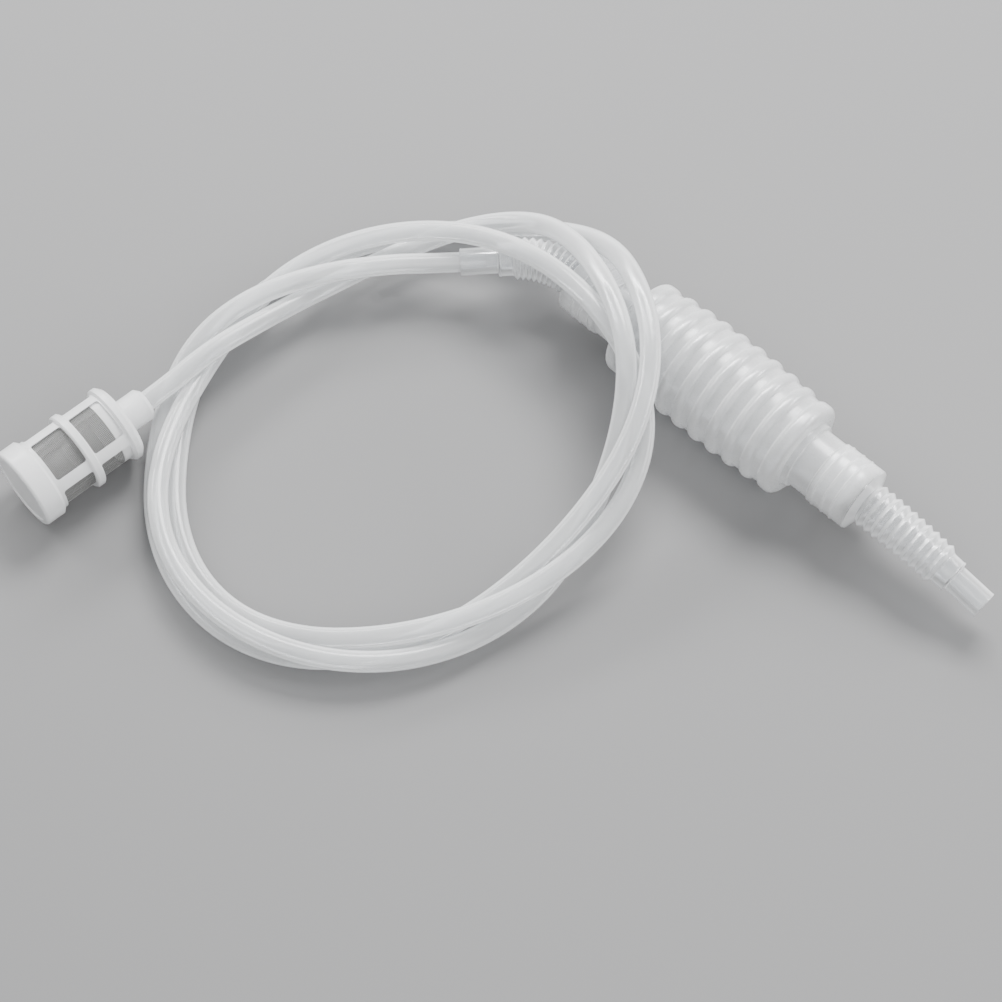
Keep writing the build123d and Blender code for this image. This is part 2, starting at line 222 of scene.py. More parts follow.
# Name, place and size in metres, power in watts.
LIGHTS = (
    ("key", (-0.45, 0.85, 1.35), (0.9, 0.6), 62),
    ("fill", (0.9, -0.7, 1.1), (1.2, 1.2), 20),
    ("strip", (-1.2, 0.15, 0.75), (1.6, 0.25), 28),
    ("rim", (0.8, 0.9, 0.5), (0.8, 0.4), 14),
)
CAMERA_PLACE = Vector((309.25, -485.1, 992.4))
CAMERA_TARGET = Vector((-52.05, -100.5, 0))
CAMERA_LENS = 85
CAMERA_SENSOR = 36


# ---------------------------------------------------------------- settings


class BulbSettings(bpy.types.PropertyGroup):
    """How the bulb and its connectors are meshed"""

    steps: IntProperty(
        name="Steps around", description="Points around each turned piece", default=112, min=24
    )
    milkiness: FloatProperty(
        name="Milkiness", description="How much of the bulb's wall is opaque", default=0.42
    )


class HoseSettings(bpy.types.PropertyGroup):
    """The hose's sizes"""

    length: FloatProperty(
        name="Length", description="Real length of the hose", default=2.37, unit="LENGTH"
    )
    diameter: FloatProperty(
        name="Diameter", description="Outside diameter", default=0.010, unit="LENGTH"
    )


class StrainerSettings(bpy.types.PropertyGroup):
    """The strainer's mesh"""

    thread_pitch: FloatProperty(
        name="Thread pitch",
        description="From one thread to the next",
        default=0.00075,
        unit="LENGTH",
    )


# ---------------------------------------------------------------- geometry helpers


class Straight:
    """A straight axis: gives the frame across it at a distance along it, in metres."""

    def __init__(self, start, heading):
        self.start = Vector(start)
        self.heading = Vector(heading).normalized()
        side = self.heading.cross(WORLD_UP).normalized()
        self.across = (side, side.cross(self.heading))

    def at(self, along):
        u, v = self.across
        return (self.start + self.heading * along) * MM, u, v


class Bend:
    """An axis that is straight, then a tangent arc of some length, then straight again."""

    def __init__(self, start, heading, inward, turn, length):
        self.start = Vector(start)
        self.heading = Vector(heading).normalized()
        self.inward = Vector(inward).normalized()
        self.length = length
        self.radius = length / math.radians(turn)
        self.side = self.heading.cross(self.inward)

    def at(self, along):
        arc = min(max(along, 0), self.length)
        angle = arc / self.radius
        onward = self.heading * math.cos(angle) + self.inward * math.sin(angle)
        centre = self.start + self.inward * self.radius
        spoke = self.heading * math.sin(angle) - self.inward * math.cos(angle)
        point = centre + spoke * self.radius
        point = point + onward * (along - arc)
        return point * MM, self.side, self.side.cross(onward)


def rounded(points, closed=True):
    """An outline's corners replaced by small arcs; each point is (along, radius, fillet)."""
    made = []
    count = len(points)
    for index, (along, radius, fillet) in enumerate(points):
        here = Vector((along, radius))
        if fillet == 0 or (not closed and index in (0, count - 1)):
            made.append((along, radius))
            continue
        before = Vector(points[index - 1][:2]) - here
        after = Vector(points[(index + 1) % count][:2]) - here
        half = before.angle(after) / 2
        reach = fillet / math.tan(half)
        reach = min(reach, before.length * 0.48, after.length * 0.48)
        first = here + before.normalized() * reach
        last = here + after.normalized() * reach
        for step in range(5):
            share = step / 4
            a = first.lerp(here, share)
            b = here.lerp(last, share)
            point = a.lerp(b, share)
            made.append((point.x, point.y))
    return made


def link(name, data):
    obj = bpy.data.objects.new(name, data)
    bpy.context.scene.collection.objects.link(obj)
    return obj


def finish_piece(obj, material, body, replaces=()):
    """Material, frame body and material slot of a finished piece."""
    obj.data.materials.append(material)
    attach(obj, body)
    if replaces:
        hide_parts(*replaces)
    return obj


def spun(name, outline, axis, steps, wobble=None):
    """A closed outline of (along, radius) in millimetres, spun round an axis."""
    vertices = []
    for along, radius in outline:
        origin, u, v = axis.at(along)
        for step in range(steps):
            angle = 2 * math.pi * step / steps
            reach = radius
            if wobble:
                reach += wobble(along, angle)
            reach *= MM
            vertices.append(origin + (u * math.cos(angle) + v * math.sin(angle)) * reach)
    faces = []
    rings = len(outline)
    for ring in range(rings):
        after = (ring + 1) % rings
        for step in range(steps):
            side = (step + 1) % steps
            faces.append(
                (
                    ring * steps + step,
                    ring * steps + side,
                    after * steps + side,
                    after * steps + step,
                )
            )
    mesh = bpy.data.meshes.new(name)
    mesh.from_pydata(vertices, [], faces)
    work = bmesh.new()
    work.from_mesh(mesh)
    bmesh.ops.remove_doubles(work, verts=work.verts, dist=1e-7)
    bmesh.ops.recalc_face_normals(work, faces=work.faces)
    work.to_mesh(mesh)
    work.free()
    mesh.shade_smooth()
    return link(name, mesh)


# ---------------------------------------------------------------- shared shader effects


def new_group(name, inputs, outputs):
    group = bpy.data.node_groups.new(name, "ShaderNodeTree")
    for label, kind, value in inputs:
        socket = group.interface.new_socket(label, in_out="INPUT", socket_type=kind)
        socket.default_value = value
    for label, kind in outputs:
        group.interface.new_socket(label, in_out="OUTPUT", socket_type=kind)
    return group, group.nodes.new("NodeGroupInput"), group.nodes.new("NodeGroupOutput")


def cloudy_group():
    """Slow variation of thickness and colour that moulded translucent plastic has."""
    group, given, made = new_group(
        "Cloudy plastic",
        [
            ("Scale", "NodeSocketFloat", 60.0),
            ("Strength", "NodeSocketFloat", 0.1),
            ("Bump", "NodeSocketFloat", 0.05),
        ],
        [
            ("Value", "NodeSocketFloat"),
            ("Roughness", "NodeSocketFloat"),
            ("Normal", "NodeSocketVector"),
        ],
    )
    nodes, links = group.nodes, group.links
    place = nodes.new("ShaderNodeTexCoord")
    slow = nodes.new("ShaderNodeTexNoise")
    slow.inputs["Detail"].default_value = 4
    slow.inputs["Roughness"].default_value = 0.55
    links.new(place.outputs["Object"], slow.inputs["Vector"])
    links.new(given.outputs["Scale"], slow.inputs["Scale"])
    fine = nodes.new("ShaderNodeTexNoise")
    fine.inputs["Scale"].default_value = 900
    fine.inputs["Detail"].default_value = 3
    links.new(place.outputs["Object"], fine.inputs["Vector"])
    centred = nodes.new("ShaderNodeMath")
    centred.operation = "SUBTRACT"
    centred.inputs[1].default_value = 0.5
    links.new(slow.outputs["Fac"], centred.inputs[0])
    value = nodes.new("ShaderNodeMath")
    value.operation = "MULTIPLY"
    links.new(centred.outputs[0], value.inputs[0])
    links.new(given.outputs["Strength"], value.inputs[1])
    links.new(value.outputs[0], made.inputs["Value"])
    rough = nodes.new("ShaderNodeMapRange")
    rough.inputs["To Min"].default_value = -0.05
    rough.inputs["To Max"].default_value = 0.08
    links.new(fine.outputs["Fac"], rough.inputs["Value"])
    links.new(rough.outputs[0], made.inputs["Roughness"])
    both = nodes.new("ShaderNodeMath")
    both.operation = "MULTIPLY_ADD"
    both.inputs[1].default_value = 0.15
    links.new(fine.outputs["Fac"], both.inputs[0])
    links.new(slow.outputs["Fac"], both.inputs[2])
    bump = nodes.new("ShaderNodeBump")
    bump.inputs["Distance"].default_value = 0.0006
    links.new(given.outputs["Bump"], bump.inputs["Strength"])
    links.new(both.outputs[0], bump.inputs["Height"])
    links.new(bump.outputs[0], made.inputs["Normal"])
    return group


def weave_group():
    """Threads of a plain weave, laid round and along a cylinder's axis (object X)."""
    group, given, made = new_group(
        "Weave",
        [("Radius", "NodeSocketFloat", 0.017), ("Pitch", "NodeSocketFloat", 0.00075)],
        [("Solid", "NodeSocketFloat"), ("Height", "NodeSocketFloat")],
    )
    nodes, links = group.nodes, group.links
    place = nodes.new("ShaderNodeTexCoord")
    parts = nodes.new("ShaderNodeSeparateXYZ")
    links.new(place.outputs["Object"], parts.inputs[0])
    angle = nodes.new("ShaderNodeMath")
    angle.operation = "ARCTAN2"
    links.new(parts.outputs["Y"], angle.inputs[0])
    links.new(parts.outputs["Z"], angle.inputs[1])
    round_way = nodes.new("ShaderNodeMath")
    round_way.operation = "MULTIPLY"
    links.new(angle.outputs[0], round_way.inputs[0])
    links.new(given.outputs["Radius"], round_way.inputs[1])
    waves = []
    for source in (round_way.outputs[0], parts.outputs["X"]):
        turns = nodes.new("ShaderNodeMath")
        turns.operation = "DIVIDE"
        links.new(source, turns.inputs[0])
        links.new(given.outputs["Pitch"], turns.inputs[1])
        phase = nodes.new("ShaderNodeMath")
        phase.operation = "MULTIPLY"
        phase.inputs[1].default_value = 2 * math.pi
        links.new(turns.outputs[0], phase.inputs[0])
        wave = nodes.new("ShaderNodeMath")
        wave.operation = "COSINE"
        links.new(phase.outputs[0], wave.inputs[0])
        waves.append(wave)
    top = nodes.new("ShaderNodeMath")
    top.operation = "MAXIMUM"
    links.new(waves[0].outputs[0], top.inputs[0])
    links.new(waves[1].outputs[0], top.inputs[1])
    links.new(top.outputs[0], made.inputs["Height"])
    solid = nodes.new("ShaderNodeMapRange")
    solid.inputs["From Min"].default_value = 0.1
    solid.inputs["From Max"].default_value = 0.3
    links.new(top.outputs[0], solid.inputs["Value"])
    links.new(solid.outputs[0], made.inputs["Solid"])
    return group


# ---------------------------------------------------------------- materials


def milky_material(name, colour, opacity, edge, roughness, cloud, glow=0.5, turn=(0.0, 1.0)):
    """Translucent plastic: diffuse and translucent wall, more opaque where seen edge-on."""
    material = bpy.data.materials.new(name)
    material.use_nodes = True
    nodes, links = material.node_tree.nodes, material.node_tree.links
    nodes.clear()
    out = nodes.new("ShaderNodeOutputMaterial")
    cloudy = nodes.new("ShaderNodeGroup")
    cloudy.node_tree = bpy.data.node_groups["Cloudy plastic"]
    cloudy.inputs["Scale"].default_value = cloud[0]
    cloudy.inputs["Strength"].default_value = cloud[1]
    cloudy.inputs["Bump"].default_value = cloud[2]

    tint = nodes.new("ShaderNodeHueSaturation")
    tint.inputs["Color"].default_value = (*colour, 1)
    lift = nodes.new("ShaderNodeMath")
    lift.operation = "ADD"
    lift.inputs[1].default_value = 1
    links.new(cloudy.outputs["Value"], lift.inputs[0])
    links.new(lift.outputs[0], tint.inputs["Value"])

    diffuse = nodes.new("ShaderNodeBsdfDiffuse")
    through = nodes.new("ShaderNodeBsdfTranslucent")
    for shader in (diffuse, through):
        links.new(tint.outputs[0], shader.inputs["Color"])
        links.new(cloudy.outputs["Normal"], shader.inputs["Normal"])
    wall = nodes.new("ShaderNodeMixShader")
    wall.inputs[0].default_value = glow
    links.new(diffuse.outputs[0], wall.inputs[1])
    links.new(through.outputs[0], wall.inputs[2])

    clear = nodes.new("ShaderNodeBsdfTransparent")
    clear.inputs["Color"].default_value = (0.97, 0.98, 0.99, 1)
    facing = nodes.new("ShaderNodeLayerWeight")
    facing.inputs["Blend"].default_value = 0.5
    solid = nodes.new("ShaderNodeMapRange")
    solid.inputs["From Min"].default_value, solid.inputs["From Max"].default_value = turn
    solid.inputs["To Min"].default_value = opacity
    solid.inputs["To Max"].default_value = edge
    links.new(facing.outputs["Facing"], solid.inputs["Value"])
    vary = nodes.new("ShaderNodeMath")
    vary.operation = "ADD"
    vary.use_clamp = True
    links.new(solid.outputs[0], vary.inputs[0])
    links.new(cloudy.outputs["Value"], vary.inputs[1])
    seen = nodes.new("ShaderNodeMixShader")
    links.new(vary.outputs[0], seen.inputs[0])
    links.new(clear.outputs[0], seen.inputs[1])
    links.new(wall.outputs[0], seen.inputs[2])

    mirror = nodes.new("ShaderNodeBsdfGlossy")
    links.new(cloudy.outputs["Normal"], mirror.inputs["Normal"])
    rough = nodes.new("ShaderNodeMath")
    rough.operation = "ADD"
    rough.inputs[1].default_value = roughness
    links.new(cloudy.outputs["Roughness"], rough.inputs[0])
    links.new(rough.outputs[0], mirror.inputs["Roughness"])
    fresnel = nodes.new("ShaderNodeFresnel")
    fresnel.inputs["IOR"].default_value = PLASTIC_IOR
    links.new(cloudy.outputs["Normal"], fresnel.inputs["Normal"])
    final = nodes.new("ShaderNodeMixShader")
    links.new(fresnel.outputs[0], final.inputs[0])
    links.new(seen.outputs[0], final.inputs[1])
    links.new(mirror.outputs[0], final.inputs[2])
    links.new(final.outputs[0], out.inputs["Surface"])
    return material


def mesh_material(name, pitch):
    """Woven nylon: grey-white threads with open holes between them, and painted shade that
    darkens each thread where it dips low.
    """
    material = bpy.data.materials.new(name)
    material.use_nodes = True
    nodes, links = material.node_tree.nodes, material.node_tree.links
    shader = nodes["Principled BSDF"]
    weave = nodes.new("ShaderNodeGroup")
    weave.node_tree = bpy.data.node_groups["Weave"]
    weave.inputs["Pitch"].default_value = pitch
    # Painted shade: the thread colour goes from dark where the weave dips low to lighter on its
    # raised crossings.
    painted_shade_ramp = nodes.new("ShaderNodeMapRange")
    painted_shade_ramp.inputs["From Min"].default_value = -0.2
    painted_shade_ramp.inputs["To Min"].default_value = 0.05
    painted_shade_ramp.inputs["To Max"].default_value = 0.2
    links.new(weave.outputs["Height"], painted_shade_ramp.inputs["Value"])
    tint = nodes.new("ShaderNodeHueSaturation")
    tint.inputs["Color"].default_value = (1, 1, 0.98, 1)
    links.new(painted_shade_ramp.outputs[0], tint.inputs["Value"])
    links.new(tint.outputs[0], shader.inputs["Base Color"])
    shader.inputs["Roughness"].default_value = 0.45
    bump = nodes.new("ShaderNodeBump")
    bump.inputs["Distance"].default_value = 0.0002
    links.new(weave.outputs["Height"], bump.inputs["Height"])
    links.new(bump.outputs[0], shader.inputs["Normal"])
    links.new(weave.outputs["Solid"], shader.inputs["Alpha"])
    return material


def make_materials():
    """Every material, made once."""
    cloudy_group()
    weave_group()
    made = []
    for key, look in PLASTICS.items():
        if key == "bulb":
            look = dict(look, opacity=bpy.context.scene.siphon_bulb.milkiness)
        made.append(milky_material(**look))
    made.append(mesh_material(MESH_NAME, bpy.context.scene.siphon_strainer.thread_pitch))
    return made


def material(key):
    return bpy.data.materials[MESH_NAME if key == "mesh" else PLASTICS[key]["name"]]


# ---------------------------------------------------------------- the bulb


def foot_radius(x):
    return MIDDLE_RADIUS - BARREL_DROP * min(1.0, (x / END_RIDGE) ** 2)


def bulb_half(depth):
    """Half of the bulb's outline from its middle to its mouth, at a depth in the wall."""
    points = []
    x = 0.0
    half = RIDGE_WIDTH / 2 - depth * RIDGE_INNER_LOSS
    while x < END_RIDGE:
        nearest = (math.floor(x / RIDGE_PITCH) + 0.5) * RIDGE_PITCH
        off = abs(x - nearest) / half
        hump = 0.0
        if off < 1:
            hump = RIDGE_HEIGHT * (1 - off * off) ** RIDGE_FULLNESS
        points.append((x, foot_radius(x) + hump - depth))
        x += RIDGE_STEP
    crest = foot_radius(END_RIDGE) + RIDGE_HEIGHT - depth
    wall = END_WALL - depth
    shoulder = SHOULDER_RADIUS - depth * 0.5
    points.append((END_RIDGE + 0.3, crest))
    corner = (wall - shoulder, crest - shoulder)
    for step in range(9):
        angle = math.radians(90 - SHOULDER_TURN * step / 8)
        points.append(
            (corner[0] + shoulder * math.cos(angle), corner[1] + shoulder * math.sin(angle))
        )
    neck = NECK_RADIUS - depth
    socket = SOCKET_RADIUS - depth
    tail = []
    if depth == 0:
        tail += [
            (wall + 0.1, NECK_STEP_RADIUS, 0.4),
            (wall + 3.0, 17.0, 0.5),
            (wall + 3.3, neck, 0.5),
        ]
    else:
        tail += [(wall, neck + 1.2, 0.6), (wall + 1.2, neck, 0.6)]
    tail += [(NECK_END, neck, 0.5), (VALVE_INNER, socket, 0.4)]
    for place in BARBS:
        at = VALVE_INNER + place
        tail += [
            (at - SOCKET_RING_REACH, socket, 0.4),
            (at, socket + SOCKET_RING_HEIGHT, 0.4),
            (at + SOCKET_RING_REACH, socket, 0.4),
        ]
    tail.append((MOUTH, socket, 0.35))
    start = points[-1]
    points += rounded([(start[0], start[1], 0), *tail], closed=False)[1:-1]
    if depth == 0:
        points += [(MOUTH - 0.3, socket), (MOUTH - 0.08, socket - 0.08), (MOUTH, socket - 0.3)]
    else:
        points += [(MOUTH, socket)]
    return points


def bulb_outline():
    outer = bulb_half(0)
    inner = bulb_half(BULB_WALL)
    right = outer + inner[::-1]
    left = [(-x, r) for x, r in right if x > 0]
    return right + left[::-1]


def bulb_wobble(along, angle):
    """Blown walls are never quite round: a slow waver and a faint parting line."""
    waver = 0.10 * math.sin(2 * angle + along * 0.031) + 0.05 * math.sin(5 * angle - along * 0.07)
    seam = 0.0
    for line in (math.radians(35), math.radians(215)):
        off = (angle - line + math.pi) % (2 * math.pi) - math.pi
        seam += 0.16 * math.exp(-((off / 0.035) ** 2))
    inside = max(0.2, min(1.0, (END_WALL - abs(along)) / 4))
    return waver * inside + seam * inside


def build_bulb():
    steps = bpy.context.scene.siphon_bulb.steps * 3 // 2
    axis = Straight(BULB_MIDDLE, (1, 0, 0))
    bulb = spun("bulb_wall", bulb_outline(), axis, steps, bulb_wobble)
    bulb.data.materials.append(material("bulb"))
    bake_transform(bulb)
    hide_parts("bulb_shell")
    return [bulb]


# ---------------------------------------------------------------- the valves


def valve_outline(side):
    """Barbed tube with a seat plate across it."""
    seat = side * VALVE_MIDDLE
    points = [(side * VALVE_INNER, VALVE_BORE, 0.3), (side * VALVE_INNER, VALVE_RADIUS, 0.5)]
    for place in BARBS:
        at = VALVE_INNER + place
        points += [
            (side * (at - 1.0), VALVE_RADIUS, 0.2),
            (side * at, VALVE_RADIUS + 0.6, 0.25),
            (side * (at + 1.0), VALVE_RADIUS, 0.2),
        ]
    end = side * (MOUTH - 0.05)
    points += [(end, VALVE_RADIUS, 0.3), (end, VALVE_BORE, 0.3)]
    near, far = (PLATE_FRONT, PLATE_BACK) if side > 0 else (PLATE_BACK, PLATE_FRONT)
    points += [
        (seat + near, VALVE_BORE, 0.3),
        (seat + near, PLATE_HOLE, 0.3),
        (seat + far, PLATE_HOLE, 0.3),
        (seat + far, VALVE_BORE, 0.3),
    ]
    return rounded(points)


def build_valves():
    made = []
    axis = Straight(BULB_MIDDLE, (1, 0, 0))
    for side, end in ((-1, "inlet"), (1, "outlet")):
        root = "bulb" if side < 0 else "outlet_end"
        body = spun(f"{end}_valve_housing", valve_outline(side), axis, VALVE_STEPS)
        finish_piece(body, material("valve"), root, [f"{end}_valve_body"])
        face = side * VALVE_MIDDLE + PLATE_FRONT
        outline = rounded(
            [
                (face, DISC_RADIUS, 0.3),
                (face + DISC_THICKNESS, DISC_RADIUS, 0.3),
                (face + DISC_THICKNESS, 0.02, 0),
                (face - DISC_PLUG_DEPTH, 0.02, 0),
                (face - DISC_PLUG_DEPTH, DISC_PLUG_RADIUS, 0.4),
                (face, DISC_PLUG_RADIUS + 0.2, 0.2),
            ]
        )
        disc = spun(f"{end}_flap", outline, axis, DISC_STEPS)
        finish_piece(disc, material("disc"), f"{end}_disc", [f"{end}_valve_disc"])
        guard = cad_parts[f"{end}_valve_guard"]
        guard.data.materials.clear()
        guard.data.materials.append(material("valve"))
        made += [body, disc]
    return made


# ---------------------------------------------------------------- the connectors


def bellows_outline(pitch, first, last):
    """Closed outline of a folded wall between two roots."""
    outer = []
    for step in range(2 * first, 2 * last + 1):
        share = step / (2 * BELLOWS_RIDGES)
        crest = CREST_FIRST + (CREST_LAST - CREST_FIRST) * share
        along = step * pitch / 2
        if step % 2:
            outer.append((along, crest, 0.55))
        else:
            outer.append((along, crest - BELLOWS_DEPTH, 0.4))
    inner = [(along, radius - BELLOWS_WALL, fillet) for along, radius, fillet in outer]
    return outer, inner[::-1]


def connector_root():
    """Plug, cone and start of the bellows, before the first root."""
    plug = VALVE_BORE - 0.05
    plug_bore = plug - PLUG_WALL
    root = CREST_FIRST - BELLOWS_DEPTH
    face = -CONNECTOR_ROOT
    outer = [
        (-PLUG_LENGTH, plug, 0.4),
        (face - 0.02, plug, 0),
        (face, SOCKET_RADIUS, 0.35),
        (-2.4, SOCKET_RADIUS - 0.4, 0.5),
        (0, root, 0.4),
    ]
    inner = [
        (0, root - BELLOWS_WALL, 0.4),
        (face, plug_bore, 0.5),
        (-PLUG_LENGTH, plug_bore, 0.3),
    ]
    return outer, inner


def nozzle_outline(length):
    """Cuff with its thick end, shelf and straight nozzle."""
    end = length + CUFF_LENGTH
    tip = end + NOZZLE_LENGTH
    return rounded(
        [
            (length, CREST_LAST - BELLOWS_DEPTH, 0.2),
            (length + 0.8, CUFF_RADIUS - 0.05, 0.4),
            (end - 1.2, CUFF_RADIUS - 0.15, 0.5),
            (end - 0.9, CUFF_RADIUS + 0.1, 0.25),
            (end, CUFF_RADIUS, 0.35),
            (end + 0.3, NOZZLE_RADIUS, 0.4),
            (tip - 0.8, NOZZLE_RADIUS - 0.02, 0.4),
            (tip - 0.5, NOZZLE_RADIUS + 0.12, 0.25),
            (tip, NOZZLE_RADIUS, 0.3),
            (tip, HOSE_RADIUS + 0.05, 0.3),
            (end - 0.5, HOSE_RADIUS + 0.05, 0.3),
            (end - 1.0, CUFF_RADIUS - 1.0, 0.4),
            (length, CREST_LAST - BELLOWS_DEPTH - BELLOWS_WALL, 0.2),
        ]
    )


def inlet_axis():
    lean = math.radians(INLET_LEAN)
    start = BULB_MIDDLE + Vector((-MOUTH - CONNECTOR_ROOT, 0, 0))
    inward = (0, -math.cos(lean), -math.sin(lean))
    return Bend(start, (-1, 0, 0), inward, INLET_TURN, INLET_FOLDS)


def outlet_axis():
    start = BULB_MIDDLE + Vector((MOUTH + CONNECTOR_ROOT, 0, 0))
    return Bend(start, (1, 0, 0), (0, 0, -1), OUTLET_TURN, OUTLET_FOLDS)


def build_connectors():
    clear = material("connector")
    steps = bpy.context.scene.siphon_bulb.steps
    made = []

    axis = inlet_axis()
    root_outer, root_inner = connector_root()
    outer, inner = bellows_outline(INLET_FOLDS / BELLOWS_RIDGES, 0, BELLOWS_RIDGES)
    outline = rounded(root_outer[:-1] + outer + inner + root_inner[1:])
    piece = spun("inlet_bendy_tube", outline, axis, steps)
    finish_piece(piece, clear, "bulb", ["inlet_bellows"])
    made.append(piece)
    piece = spun("inlet_hose_nozzle", nozzle_outline(INLET_FOLDS), axis, steps)
    finish_piece(piece, clear, "bulb", ["inlet_nozzle"])
    made.append(piece)

    axis = outlet_axis()
    pitch = OUTLET_FOLDS / BELLOWS_RIDGES
    outer, inner = bellows_outline(pitch, 0, BELLOWS_RIDGES // 2)
    outline = rounded(root_outer[:-1] + outer + inner + root_inner[1:])
    rear = spun("outlet_bendy_tube_rear", outline, axis, steps)
    outer, inner = bellows_outline(pitch, BELLOWS_RIDGES // 2, BELLOWS_RIDGES)
    front = spun("outlet_bendy_tube_front", rounded(outer + inner), axis, steps)
    middle = OUTLET_FOLDS / 2
    halves = (
        (rear, "outlet_end", "outlet_bend", 0, middle),
        (front, "outlet_bend", "outlet_spout", middle, OUTLET_FOLDS),
    )
    for piece, before, after, start, end in halves:
        piece.data.materials.append(clear)
        axis.at(start)[0]
        axis.at(end)[0]
        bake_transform(piece)
        made.append(piece)
    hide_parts("outlet_bellows_rear")
    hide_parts("outlet_bellows_front")
    piece = spun("outlet_hose_nozzle", nozzle_outline(OUTLET_FOLDS), axis, steps)
    finish_piece(piece, clear, "outlet_spout", ["outlet_nozzle"])
    made.append(piece)
    return made


# ---------------------------------------------------------------- the hose

# Angle round the coil's middle in degrees, radius and height in millimetres. The hose
# leaves the inlet nozzle, runs three and a bit turns, and ends in the strainer's neck.
HOSE_LEAD = [(108.8, 100.9, 24.9), (119.2, 94.1, 23.4), (137.8, 89.8, 24.3), (159.4, 92.7, 25.3)]
HOSE_FIRST_TURN = [
    (179.0, 101.7, 24.4), (195.4, 110.8, 18.9), (210.7, 115.0, 9.9), (227.2, 117.4, 5.0),
    (243.4, 123.2, 5.0), (258.5, 127.7, 5.1), (273.0, 128.6, 5.0), (287.2, 124.8, 5.0),
    (302.0, 116.6, 5.0), (318.3, 106.4, 5.8), (336.6, 98.5, 10.2), (355.8, 96.6, 19.4),
    (13.9, 101.1, 32.0), (29.7, 109.0, 44.6), (44.0, 116.4, 53.9), (57.3, 121.6, 58.8),
    (69.9, 126.0, 57.4), (81.8, 131.6, 48.6), (93.4, 133.7, 32.0), (106.4, 130.8, 14.3),
    (121.2, 125.1, 5.9), (137.7, 118.4, 5.0), (155.2, 113.7, 5.0),
]
HOSE_SECOND_TURN = [
    (172.8, 111.5, 5.0), (190.1, 109.7, 5.0), (207.9, 106.9, 5.0), (226.8, 107.3, 5.0),
    (244.4, 113.3, 5.0), (260.2, 118.0, 5.0), (275.2, 118.3, 6.4), (290.7, 114.1, 10.2),
    (307.8, 108.1, 14.6), (326.4, 104.7, 17.8), (345.3, 105.3, 20.4), (3.1, 109.2, 23.1),
    (19.1, 114.0, 27.7), (33.5, 116.8, 34.6), (47.4, 114.5, 42.5), (62.3, 107.8, 48.8),
    (79.7, 103.8, 49.2), (98.0, 103.3, 44.4), (116.2, 104.8, 36.8), (133.7, 106.6, 28.3),
    (150.7, 107.8, 20.7),
]
HOSE_THIRD_TURN = [
    (167.3, 107.0, 15.1), (184.7, 103.3, 12.0), (203.9, 102.1, 13.2), (222.5, 109.1, 16.0),
    (238.7, 118.5, 16.7), (253.4, 124.7, 16.2), (268.0, 126.4, 15.8), (283.0, 125.3, 15.6),
    (298.4, 122.7, 14.5), (313.9, 118.0, 11.5), (330.1, 112.3, 8.4), (346.9, 107.5, 8.5),
    (3.9, 103.5, 14.3), (21.0, 101.9, 26.0), (37.1, 105.0, 41.6), (52.2, 108.5, 55.6),
    (68.0, 111.5, 59.0), (84.1, 118.0, 51.6), (97.9, 127.1, 37.1), (109.7, 128.1, 21.6),
    (122.8, 117.1, 14.0),
]
HOSE_TAIL = [
    (138.7, 101.6, 11.4), (158.9, 90.7, 14.1), (180.9, 90.2, 19.5), (199.6, 100.7, 23.0),
    (212.9, 118.1, 20.3), (220.3, 133.0, 20.3),
]


def build_hose():
    settings = bpy.context.scene.siphon_hose
    points = []
    for angle, radius, height in (
        HOSE_LEAD + HOSE_FIRST_TURN + HOSE_SECOND_TURN + HOSE_THIRD_TURN + HOSE_TAIL
    ):
        turn = math.radians(angle)
        point = COIL_MIDDLE + Vector((radius * math.cos(turn), radius * math.sin(turn), height))
        points.append(point * MM)
    axis = inlet_axis()
    mouth = INLET_FOLDS + CUFF_LENGTH + NOZZLE_LENGTH
    start = axis.at(mouth - HOSE_IN_NOZZLE)[0]
    points[0] = start
    points[1] = axis.at(mouth + HOSE_PAST_NOZZLE)[0]
    points[-1] = (STRAINER_MOUTH + STRAINER_HEADING * HOSE_IN_NECK) * MM
    points[-2] = (STRAINER_MOUTH - STRAINER_HEADING * HOSE_BEFORE_NECK) * MM
    curve = bpy.data.curves.new("hose", "CURVE")
    curve.dimensions = "3D"
    spline = curve.splines.new("NURBS")
    spline.points.add(len(points) - 1)
    for target, point in zip(spline.points, points):
        target.co = (*point, 1)
    spline.order_u = 3
    spline.use_endpoint_u = True
    spline.resolution_u = 8
    curve.bevel_depth = settings.diameter / 2
    curve.bevel_resolution = 9
    curve.use_fill_caps = True
    curve.resolution_u = 8
    hose = link("hose", curve)
    finish_piece(hose, material("hose"), "bulb", ["hose_lead", "hose_coil", "hose_tail"])
    return hose, start


# ---------------------------------------------------------------- the strainer


def strainer_axis():
    return Straight(STRAINER_FACE, STRAINER_HEADING * -1)


def sleeve_point(along, radius, angle):
    return (along * MM, radius * math.sin(angle) * MM, radius * math.cos(angle) * MM)


def seam_weld():
    """The row of short welds that closes the rolled mesh."""
    mesh = bpy.data.meshes.new("mesh_seam_weld")
    vertices, faces = [], []
    along = MESH_START + 1
    while along < MESH_START + WELD_ROW:
        first = len(vertices)
        for radius in WELD_RADII:
            for end in (along, along + WELD_LENGTH):
                for side in WELD_TURNS:
                    angle = math.radians(SEAM_ANGLE + 1 + side)
                    vertices.append(sleeve_point(end, radius, angle))
        faces += [
            tuple(first + corner for corner in face)
            for face in (
                (0, 1, 3, 2), (4, 6, 7, 5), (0, 4, 5, 1), (2, 3, 7, 6), (0, 2, 6, 4), (1, 5, 7, 3)
            )
        ]
        along += WELD_PITCH
    mesh.from_pydata(vertices, [], faces)
    return mesh


